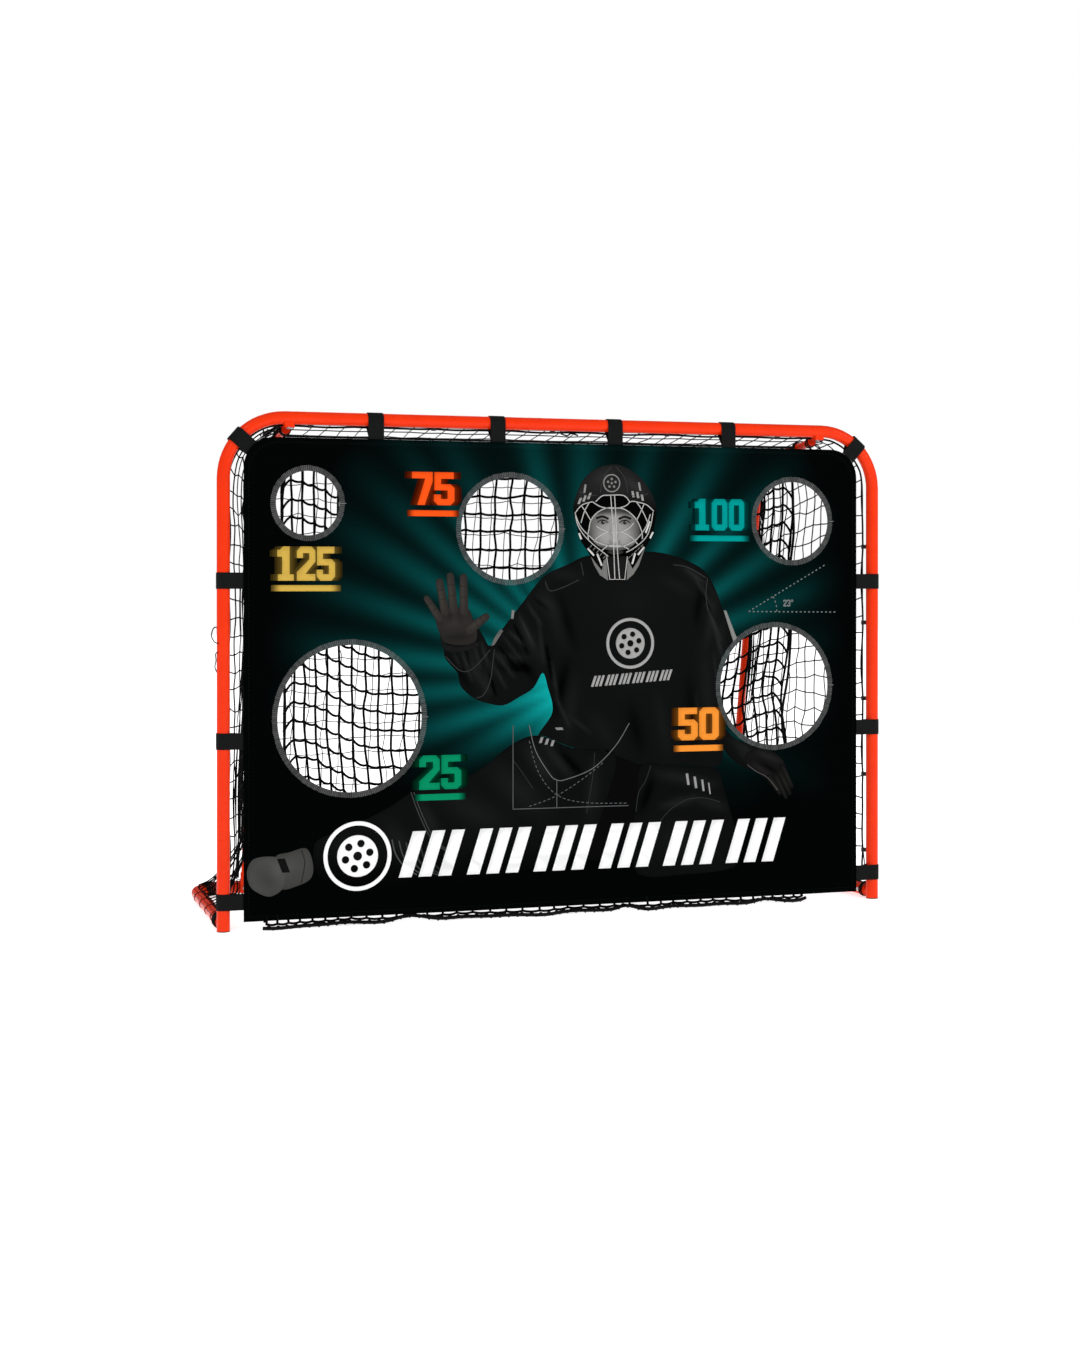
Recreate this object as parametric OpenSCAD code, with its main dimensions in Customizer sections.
/* [Front hoop] */
// Clear width between the posts
inner_w = 1600; // [1500:10:1700]
// Clear height under the crossbar
inner_h = 1150; // [1100:10:1200]
// Outside diameter of the hoop and base tube
tube_d = 30; // [28:0.5:32]
// Wall thickness of the hoop and base tube
tube_wall = 1.5; // [1.2:0.1:2]
// Bend radius of the hoop corners, to the tube's centre line
corner_r = 140; // [130:5:160]

/* [Base frame] */
// Distance from the goal line to the centre line of the rear tube
base_depth = 570; // [540:5:600]
// How far each side of the base closes in towards the rear
base_taper = 25; // [15:1:35]
// Bend radius of the rear corners, to the tube's centre line
base_corner_r = 80; // [70:5:90]

/* [Struts] */
// Outside diameter of the strut tube
strut_d = 20; // [18:0.5:20]
// Distance of each strut from the middle of the goal
strut_x = 665; // [660:1:670]
// Distance from the goal line to the strut's bend
knee_y = 346; // [330:2:350]
// Height of the strut's bend
knee_z = 1105; // [1095:1:1108]
// Bend radius of the strut, to its centre line
strut_bend_r = 90; // [80:5:100]
// Wall thickness of the strut tube
strut_wall = 1.2; // [1:0.1:1.4]

/* [Target sheet] */
// Width of the sheet
sheet_w = 1534; // [1525:1:1540]
// Sideways place of the sheet's middle as it hangs
sheet_x = -5; // [-8:1:8]
// Height of the sheet's lower edge above the floor
sheet_low = 22; // [15:1:30]
// Height of the sheet's top edge above the floor
sheet_top = 1119; // [1115:1:1122]
// Radius of the sheet's top corners
sheet_corner_r = 70; // [60:5:80]
// Thickness of the sheet
sheet_t = 1.6; // [1:0.1:2]
// Width of the sewn binding round each hole
binding_w = 13; // [10:1:15]

/* [Target holes, measured from the sheet's middle] */
// Top left hole, sideways
hole_a_x = -620; // [-630:1:-610]
// Top left hole, height
hole_a_z = 970; // [960:1:980]
// Top left hole, radius
hole_a_r = 73.5; // [70:0.5:80]
// Top middle hole, sideways
hole_b_x = -135; // [-145:1:-125]
// Top middle hole, height
hole_b_z = 916; // [905:1:925]
// Top middle hole, radius
hole_b_r = 120; // [115:0.5:125]
// Top right hole, sideways
hole_c_x = 592; // [580:1:600]
// Top right hole, height
hole_c_z = 941; // [930:1:950]
// Top right hole, radius
hole_c_r = 96; // [90:0.5:100]
// Lower left hole, sideways
hole_d_x = -521; // [-530:1:-510]
// Lower left hole, height
hole_d_z = 477; // [465:1:490]
// Lower left hole, radius
hole_d_r = 169; // [160:0.5:175]
// Lower right hole, sideways
hole_e_x = 544; // [530:1:555]
// Lower right hole, height
hole_e_z = 536; // [525:1:545]
// Lower right hole, radius
hole_e_r = 144; // [138:0.5:150]

/* [Straps] */
// Width of the webbing
strap_w = 37; // [30:1:40]
// Thickness of one layer of webbing
strap_t = 1.5; // [1:0.1:1.8]
// Distance between the top straps
strap_pitch = 294; // [280:1:300]
// Sideways place of the first top strap
strap_first_x = -464; // [-470:1:-450]
// Height of the lowest side strap
side_strap_low = 67; // [64:1:75]
// Distance between the side straps
side_strap_pitch = 363; // [340:1:370]
// Place of the left corner strap on the bend, in degrees above level
left_corner_angle = 41; // [40:1:50]
// Place of the right corner strap on the bend, in degrees above level
right_corner_angle = 49; // [40:1:50]

/* [Nets] */
// Thickness that stands for the netting
net_t = 1.5; // [1:0.5:2]
// Diameter of the border cord behind the hoop
border_d = 5; // [4:0.5:5]
// Diameter of the lacing round the base frame
lacing_d = 3; // [2:0.5:3]
// Distance between the turns of the lacing
lacing_pitch = 62; // [55:1:80]

/* [Drop net] */
// Distance from the goal line to the cord the drop net hangs on
drop_y = 115; // [110:1:120]
// Half of the drop net's width, to the middle of its side cords
drop_half_w = 644; // [640:1:645]
// Distance from the top cord to the bottom rope
drop_len = 1126; // [1120:1:1127]
// How far forward of the top cord the bottom rope rests
drop_lean = 113; // [100:1:115]
// Diameter of the bottom rope
rope_d = 7; // [6:0.5:7]

/* [Hidden] */
$fn = 48;

tube_r = tube_d / 2;
bore_r = tube_r - tube_wall;
post_x = inner_w / 2 + tube_r;
bar_z = inner_h + tube_r;
base_z = tube_r + lacing_d;
rear_x = post_x - base_taper;
taper_angle = atan2(base_taper, base_depth);
gap = 0.1;
over = 1;
fit_play = 0.2;
loose_play = 0.4;
bend_lap = 2;
bend_thinning = 0.4;

// Plugs and the joint between the posts and the base frame
plug_flange = 2;
plug_len = 24;
plug_wall = 3;
joint_gap = 3;
joint_y = tube_r + joint_gap;
stub_len = 52;
stub_r = bore_r - fit_play;
stub_wall = 2.2;
lock_y = 42;
lock_d = 5;
lock_head_d = 9.5;
lock_head_h = 3;
lock_len = 11;

// Strut ends
tab_t = 3;
tab_w = 22;
tab_lap = 8;
saddle_t = 4;
saddle_w = 24;
saddle_lip = 5;
screw_d = 6;
head_d = 11;
head_h = 3.5;
socket_d = 4;
socket_depth = 2;
nut_d = 9;
nut_len = 13;
nut_bulge_d = 12;
nut_bulge_at = 4;
nut_bulge_h = 3;
tab_top_z = bar_z - tube_r - saddle_t;
strut_start_y = 30;
strut_start_z = tab_top_z - 5;
tab_back_y = base_depth - tube_r - saddle_t;
leg_end_z = 50;
leg_end_y = tab_back_y - 6;
strut_end = 5;

// Sheet and straps, as distances from the goal line (negative is in front)
patch_t = 0.8;
patch_inset = 1;
patch_spare = 4;
binding_fold = 0.6;
binding_grip = 2;
sheet_back_y = -17.2;
patch_back_y = sheet_back_y + patch_t;
tail_front_y = patch_back_y + gap;
loop_gap = 0.3;
swing_gap = 0.5;
bend_gap = 1.6;
strap_overlap = 26;
tail_start = 5;
top_tail_low = sheet_top - 40;
side_strap_z = [for (i = [0:2]) side_strap_low + i * side_strap_pitch];
top_strap_x = [for (i = [0:3]) strap_first_x + i * strap_pitch];
sheet_left = sheet_x - sheet_w / 2;
sheet_right = sheet_x + sheet_w / 2;
corner_tail_len = 62;

// Nets
cord_y = tube_r + border_d;
cord_x = post_x - tube_r;
cord_top_z = bar_z - tube_r - 1;
net_out = strut_d / 2 + 8;
clip_w = 10;
clip_wall = 2;
clip_foot_t = 3;
clip_foot_gap = 0.5;
post_clip_low = 120;
post_clip_pitch = 190;
slope_angle = atan2(strut_start_z - knee_z, knee_y - strut_start_y);
drop_z = strut_start_z - (drop_y - strut_start_y) * tan(slope_angle);
drop_angle = asin(drop_lean / drop_len);
drop_cord_d = 5;
side_cord_d = 6;
loop_r = 3.2;
loop_t = 2;
loop_w = 3;
loop_pitch = 100;
loop_reach = 600;
lacing_r = (lacing_d - bend_thinning) / 2;
lacing_start = 75;
lacing_side_spare = 80;
lacing_rear_spare = 30;

function unit(v) = v / norm(v);
function heading(v) = atan2(v[1], v[0]);
function turn(a, b) = let (t = heading(b) - heading(a)) t > 180 ? t - 360 : t < -180 ? t + 360 : t;
function left_of(v) = [-v[1], v[0]];
function setback(p, r, i) =
    i == 0 || i == len(p) - 1 ? 0 : r * tan(abs(turn(p[i] - p[i - 1], p[i + 1] - p[i])) / 2);

// A round rod along a flat path, with the same bend radius at every inner point.
// The rod is drawn down a little in the bends, and each straight length laps over them.
module bent_rod(path, r, d, extra = 0) {
    last = len(path) - 1;
    for (i = [0:last - 1]) {
        way = unit(path[i + 1] - path[i]);
        from = path[i] + way * (setback(path, r, i) - (i == 0 ? extra : bend_lap));
        to = path[i + 1] - way * (setback(path, r, i + 1) - (i == last - 1 ? extra : bend_lap));
        translate([from[0], from[1], 0])
            rotate([0, 90, heading(way)])
                cylinder(h = norm(to - from), d = d);
    }
    for (i = [1:1:last - 1]) {
        before = unit(path[i] - path[i - 1]);
        after = unit(path[i + 1] - path[i]);
        bend = turn(before, after);
        side = sign(bend);
        centre = path[i] - before * setback(path, r, i) + left_of(before) * r * side;
        first = side > 0 ? left_of(before) * -1 : left_of(after);
        translate([centre[0], centre[1], 0])
            rotate(heading(first))
                rotate_extrude(angle = abs(bend), $fn = 96)
                    translate([r, 0])
                        circle(d = d - bend_thinning, $fn = 48);
    }
}

module ring(outer_r, inner_r, h) {
    difference() {
        cylinder(h = h, r = outer_r, center = true);
        cylinder(h = h + 2 * over, r = inner_r, center = true);
    }
}

// Flat paths become upright ones: the path's second number is the height
module stand_up() { rotate([90, 0, 0]) children(); }

// Flat paths of (distance from the goal line, height) at one sideways place
module side_on(x) { translate([x, 0, 0]) rotate([90, 0, 90]) children(); }

module both_sides() {
    children();
    mirror([1, 0, 0]) children();
}

// The base frame's right side tube: its front end is at the origin, +Y runs to the rear
module on_base_side() {
    translate([post_x, 0, base_z]) rotate([0, 0, taper_angle]) children();
}

hoop_path = [[-post_x, plug_flange], [-post_x, bar_z], [post_x, bar_z], [post_x, plug_flange]];
base_front_x = post_x - joint_y * tan(taper_angle);
base_path = [
    [-base_front_x, joint_y], [-rear_x, base_depth], [rear_x, base_depth], [base_front_x, joint_y]
];
strut_path = [[strut_start_y, strut_start_z], [knee_y, knee_z], [leg_end_y, leg_end_z]];

module base_lock_holes() {
    both_sides() on_base_side()
        translate([-tube_r - over, lock_y, 0])
            rotate([0, 90, 0])
                cylinder(h = lock_len, d = lock_d + fit_play);
}

module front_hoop() {
    color("orangered") difference() {
        union() {
            stand_up() bent_rod(hoop_path, corner_r, tube_d);
            both_sides() on_base_side()
                rotate([-90, 0, 0]) cylinder(h = stub_len, r = stub_r);
        }
        stand_up() bent_rod(hoop_path, corner_r, 2 * bore_r, over);
        both_sides() on_base_side()
            rotate([-90, 0, 0]) cylinder(h = stub_len + over, r = stub_r - stub_wall);
        base_lock_holes();
        both_sides() translate([strut_x, 0, bar_z - tube_r - over])
            cylinder(h = tube_wall + 2 * over, d = nut_d + fit_play);
    }
}

module base_frame() {
    color("orangered") difference() {
        translate([0, 0, base_z]) bent_rod(base_path, base_corner_r, tube_d);
        translate([0, 0, base_z]) bent_rod(base_path, base_corner_r, 2 * bore_r, over);
        base_lock_holes();
        both_sides() translate([strut_x, base_depth - tube_r - over, base_z])
            rotate([-90, 0, 0]) cylinder(h = tube_wall + 2 * over, d = nut_d + fit_play);
    }
}

module strut(x) {
    color("orangered") difference() {
        union() {
            side_on(x) bent_rod(strut_path, strut_bend_r, strut_d);
            translate([x - tab_w / 2, -saddle_w / 2, tab_top_z - tab_t])
                cube([tab_w, strut_start_y + saddle_w / 2 + tab_lap, tab_t]);
            translate([x - tab_w / 2, tab_back_y - tab_t, base_z - saddle_w / 2])
                cube([tab_w, tab_t, leg_end_z - base_z + saddle_w / 2 + tab_lap]);
        }
        side_on(x) bent_rod(strut_path, strut_bend_r, strut_d - 2 * strut_wall, -strut_end);
        translate([x, 0, tab_top_z - tab_t - over])
            cylinder(h = tab_t + 2 * over, d = screw_d + loose_play);
        translate([x, tab_back_y - tab_t - over, base_z])
            rotate([-90, 0, 0]) cylinder(h = tab_t + 2 * over, d = screw_d + loose_play);
    }
}

module left_strut() { strut(-strut_x); }

module right_strut() { strut(strut_x); }

module post_end_plugs() {
    color("dimgray") both_sides() translate([post_x, 0, 0]) difference() {
        union() {
            cylinder(h = plug_flange - gap / 2, d = tube_d);
            cylinder(h = plug_len, r = bore_r - gap);
        }
        translate([0, 0, plug_flange + over]) cylinder(h = plug_len, r = bore_r - plug_wall);
    }
}

module base_lock_screws() {
    color("silver") both_sides() on_base_side()
        translate([-tube_r - gap, lock_y, 0]) rotate([0, 90, 0]) {
            translate([0, 0, -lock_head_h]) cylinder(h = lock_head_h, d = lock_head_d);
            translate([0, 0, -gap]) cylinder(h = lock_len, d = lock_d);
        }
}

// Fastener parts of one strut end, drawn along +Z, with the tube's centre at the origin
module saddle() {
    difference() {
        translate([-tab_w / 2, -saddle_w / 2, -tube_r - saddle_t + gap])
            cube([tab_w, saddle_w, saddle_t + saddle_lip]);
        rotate([0, 90, 0])
            cylinder(h = tab_w + 2 * over, r = tube_r + gap, center = true);
        translate([0, 0, -tube_r - saddle_t]) cylinder(h = saddle_t + over, d = nut_d + loose_play);
    }
}

module tab_screw() {
    translate([0, 0, -tube_r - saddle_t - tab_t - head_h - gap]) {
        difference() {
            cylinder(h = head_h, d = head_d);
            translate([0, 0, -over]) cylinder(h = over + socket_depth, d = socket_d, $fn = 6);
        }
        translate([0, 0, head_h - gap]) cylinder(h = tab_t + saddle_t + nut_len, d = screw_d);
    }
}

module rivet_nut() {
    translate([0, 0, -tube_r]) difference() {
        union() {
            cylinder(h = nut_len, d = nut_d);
            translate([0, 0, nut_bulge_at]) cylinder(h = nut_bulge_h, d = nut_bulge_d);
        }
        translate([0, 0, -over]) cylinder(h = nut_len + 2 * over, d = screw_d + gap);
    }
}

module at_crossbar() { both_sides() translate([strut_x, 0, bar_z]) children(); }

module at_rear_tube() {
    both_sides() translate([strut_x, base_depth, base_z]) rotate([-90, 0, 0]) children();
}

module crossbar_saddles() { color("dimgray") at_crossbar() saddle(); }

module crossbar_screws() { color("silver") at_crossbar() tab_screw(); }

module crossbar_rivet_nuts() { color("silver") at_crossbar() rivet_nut(); }

module foot_saddles() { color("dimgray") at_rear_tube() saddle(); }

module foot_screws() { color("silver") at_rear_tube() tab_screw(); }

module foot_rivet_nuts() { color("silver") at_rear_tube() rivet_nut(); }

// Netting is drawn as thin plates between the places where it is tied.
// Every plate stops short of its neighbours by a seam.
net_seam = [7, -6];
net_side_seam = 4;
net_front_y = cord_y + 6;
net_edge_x = strut_x + strut_d / 2 + 5;
net_side_x = net_edge_x + net_side_seam;
net_top_front = [net_front_y, strut_start_z + net_out];
net_top_rear = [knee_y + 8, knee_z + net_out - 3];
net_back_top = net_top_rear + net_seam;
net_back_low = [leg_end_y + 15, base_z + tube_r + lacing_d + 3];
post_net_x = cord_x - 2;

module flat_net(low, high) {
    hull() for (end = [low, high])
        translate([0, end[0], end[1]])
            rotate([0, 90, 0]) cylinder(h = 2 * net_edge_x, d = net_t, center = true, $fn = 16);
}

module net_corner(p) { translate(p) sphere(d = net_t, $fn = 12); }

module net_web(points) { hull() for (p = points) net_corner(p); }

module right_web() {
    post_high = [post_net_x, net_front_y, bar_z - corner_r - 5];
    post_low = [post_net_x, net_front_y, net_back_low[1]];
    bar_end = [net_side_x, net_front_y, net_top_front[1] - 3];
    knee = [net_side_x, knee_y + 6, knee_z];
    foot = [net_side_x, net_back_low[0], net_back_low[1]];
    net_web([post_high, knee, foot]);
    net_web([post_high, foot, post_low]);
    net_web([post_high, knee, bar_end]);
}

module top_net() { color("black") flat_net(net_top_front, net_top_rear); }

module back_net() { color("black") flat_net(net_back_top, net_back_low); }

module left_side_net() { color("black") mirror([1, 0, 0]) right_web(); }

module right_side_net() { color("black") right_web(); }

module net_border_cord() {
    cord_low = base_z + tube_r + 20;
    path = [[-cord_x, cord_low], [-cord_x, cord_top_z], [cord_x, cord_top_z], [cord_x, cord_low]];
    color("black") translate([0, cord_y, 0]) stand_up()
        bent_rod(path, corner_r - tube_r, border_d);
}

// One clip: a ring that the border cord runs through, with a foot towards the tube
module net_clip(reach) {
    ring(border_d / 2 + clip_wall, border_d / 2 + gap, clip_w);
    translate([(border_d + clip_wall) / 2, -clip_foot_t / 2, -clip_w / 2])
        cube([reach, clip_foot_t, clip_w]);
}

module net_clips() {
    used = tube_r + (border_d + clip_wall) / 2 + clip_foot_gap;
    post_reach = norm([post_x - cord_x, cord_y]) - used;
    bar_reach = norm([bar_z - cord_top_z, cord_y]) - used;
    color("dimgray") {
        both_sides() for (i = [0:4])
            translate([cord_x, cord_y, post_clip_low + i * post_clip_pitch])
                rotate([0, 0, atan2(-cord_y, post_x - cord_x)]) net_clip(post_reach);
        for (i = [-1:3])
            translate([strap_first_x + (i + 0.5) * strap_pitch, cord_y, cord_top_z])
                rotate([0, 90, 0])
                    rotate([0, 0, atan2(-cord_y, cord_top_z - bar_z)]) net_clip(bar_reach);
    }
}

module lacing_turn() {
    rotate_extrude() translate([tube_r + gap + lacing_r, 0]) circle(r = lacing_r, $fn = 24);
}

module base_lacing() {
    side_turns = floor((base_depth - base_corner_r - lacing_side_spare) / lacing_pitch);
    rear_turns = floor((strut_x - lacing_rear_spare) / lacing_pitch);
    color("black") {
        both_sides() on_base_side() for (i = [0:side_turns])
            translate([0, lacing_start + i * lacing_pitch, 0]) rotate([90, 0, 0]) lacing_turn();
        for (i = [-rear_turns:rear_turns])
            translate([i * lacing_pitch, base_depth, base_z]) rotate([0, 90, 0]) lacing_turn();
    }
}

// Each hole: [sideways from the sheet's middle, height, radius]
hole_a = [hole_a_x, hole_a_z, hole_a_r];
hole_b = [hole_b_x, hole_b_z, hole_b_r];
hole_c = [hole_c_x, hole_c_z, hole_c_r];
hole_d = [hole_d_x, hole_d_z, hole_d_r];
hole_e = [hole_e_x, hole_e_z, hole_e_r];

module at_hole(h) { translate([sheet_x + h[0], h[1], 0]) children(); }

// The sheet's outline: square lower corners, round top corners
module sheet_outline() {
    r = sheet_corner_r;
    translate([sheet_left, sheet_low]) square([sheet_w, sheet_top - r - sheet_low]);
    translate([sheet_left + r, sheet_low]) square([sheet_w - 2 * r, sheet_top - sheet_low]);
    for (x = [sheet_left + r, sheet_right - r])
        translate([x, sheet_top - r]) circle(r = r, $fn = 96);
}

module target_sheet() {
    color("black") translate([0, sheet_back_y, 0]) stand_up()
        linear_extrude(sheet_t) difference() {
            sheet_outline();
            for (h = [hole_a, hole_b, hole_c, hole_d, hole_e])
                at_hole(h) circle(r = h[2] + binding_grip, $fn = 96);
        }
}

// The binding folds over the hole's edge, so it shows on both faces of the sheet
module hole_binding(h) {
    full_t = sheet_t + 2 * binding_fold;
    groove_r = h[2] + binding_grip - gap;
    color("dimgray") translate([0, sheet_back_y + binding_fold, 0]) stand_up() at_hole(h)
        difference() {
            cylinder(h = full_t, r = h[2] + binding_w, $fn = 96);
            translate([0, 0, -over]) cylinder(h = full_t + 2 * over, r = h[2], $fn = 96);
            translate([0, 0, binding_fold - gap / 2]) difference() {
                cylinder(h = sheet_t + gap, r = h[2] + binding_w + over, $fn = 96);
                translate([0, 0, -over]) cylinder(h = sheet_t + 2 * over, r = groove_r, $fn = 96);
            }
        }
}

module hole_binding_a() { hole_binding(hole_a); }

module hole_binding_b() { hole_binding(hole_b); }

module hole_binding_c() { hole_binding(hole_c); }

module hole_binding_d() { hole_binding(hole_d); }

module hole_binding_e() { hole_binding(hole_e); }

// The middle of a corner strap's loop, with the tail running to -X
module at_corner_strap(angle) {
    translate([post_x - corner_r, 0, bar_z - corner_r]) rotate([0, -angle, 0])
        translate([corner_r, 0, 0]) children();
}

module on_corner_straps() {
    at_corner_strap(right_corner_angle) children();
    mirror([1, 0, 0]) at_corner_strap(left_corner_angle) children();
}

module loop_patches() {
    patch_l = strap_overlap - patch_spare;
    color("dimgray") {
        for (z = side_strap_z) {
            translate([sheet_left + patch_inset, sheet_back_y + gap / 2, z - strap_w / 2])
                cube([patch_l, patch_t - gap / 2, strap_w]);
            translate([sheet_right - patch_l - patch_inset, sheet_back_y + gap / 2, z - strap_w / 2])
                cube([patch_l, patch_t - gap / 2, strap_w]);
        }
        on_corner_straps()
            translate([-corner_tail_len + patch_inset, sheet_back_y + gap / 2, -strap_w / 2])
                cube([patch_l - patch_spare, patch_t - gap / 2, strap_w]);
    }
}

// A strap that loops round an upright tube at the origin, with its tail running to -X
module strap(tail, spare) {
    inner = tube_r + spare;
    ring(inner + 2 * strap_t, inner, strap_w);
    translate([-tail, tail_front_y, -strap_w / 2])
        cube([tail - tail_start, strap_t, strap_w]);
}

module left_side_straps() {
    reach = post_x + sheet_left + strap_overlap;
    color("black") for (z = side_strap_z)
        translate([-post_x, 0, z]) mirror([1, 0, 0]) strap(reach, loop_gap);
}

module right_side_straps() {
    reach = post_x - sheet_right + strap_overlap;
    color("black") for (z = side_strap_z)
        translate([post_x, 0, z]) strap(reach, loop_gap);
}

module corner_straps() { color("black") on_corner_straps() strap(corner_tail_len, bend_gap); }

module top_straps() {
    inner = tube_r + swing_gap;
    color("black") for (x = top_strap_x) translate([x, 0, bar_z]) {
        rotate([0, 90, 0]) ring(inner + 2 * strap_t, inner, strap_w);
        translate([-strap_w / 2, sheet_back_y + gap, top_tail_low - bar_z])
            cube([strap_w, strap_t, bar_z - top_tail_low]);
    }
}

module drop_top_cord() {
    reach = strut_x - strut_d / 2 - gap;
    color("black") translate([0, drop_y, drop_z]) {
        rotate([0, 90, 0]) cylinder(h = 2 * reach, d = drop_cord_d, center = true);
        both_sides() translate([strut_x, 0, 0]) rotate([90 - slope_angle, 0, 0])
            rotate_extrude() translate([strut_d / 2 + drop_cord_d / 2 + gap, 0])
                circle(d = drop_cord_d, $fn = 24);
    }
}

// The drop net is drawn hanging straight down from its top cord, then leant forward
module on_drop_net() {
    translate([0, drop_y, drop_z]) rotate([-drop_angle, 0, 0]) children();
}

module drop_net() {
    top = loop_r + loop_t + gap;
    low = drop_len - rope_d / 2 - gap;
    half = drop_half_w - side_cord_d / 2 - gap;
    color("black") on_drop_net()
        translate([-half, -net_t / 2, -low]) cube([2 * half, net_t, low - top]);
}

module drop_side_cord(x) {
    top = loop_r + loop_t + gap;
    low = drop_len - rope_d / 2 - gap;
    color("black") on_drop_net()
        translate([x, 0, -low]) cylinder(h = low - top, d = side_cord_d);
}

module drop_left_cord() { drop_side_cord(-drop_half_w); }

module drop_right_cord() { drop_side_cord(drop_half_w); }

module drop_rope() {
    color("black") on_drop_net() translate([0, 0, -drop_len])
        rotate([0, 90, 0])
            cylinder(h = 2 * drop_half_w + side_cord_d, d = rope_d, center = true);
}

module drop_loops() {
    color("dimgray") on_drop_net() for (x = [-loop_reach:loop_pitch:loop_reach])
        translate([x, 0, 0]) rotate([0, 90, 0]) ring(loop_r + loop_t, loop_r, loop_w);
}

front_hoop();
base_frame();
left_strut();
right_strut();
post_end_plugs();
base_lock_screws();
crossbar_saddles();
crossbar_screws();
crossbar_rivet_nuts();
foot_saddles();
foot_screws();
foot_rivet_nuts();
top_net();
back_net();
left_side_net();
right_side_net();
net_border_cord();
net_clips();
base_lacing();
target_sheet();
hole_binding_a();
hole_binding_b();
hole_binding_c();
hole_binding_d();
hole_binding_e();
loop_patches();
top_straps();
corner_straps();
left_side_straps();
right_side_straps();
drop_top_cord();
drop_net();
drop_left_cord();
drop_right_cord();
drop_rope();
drop_loops();
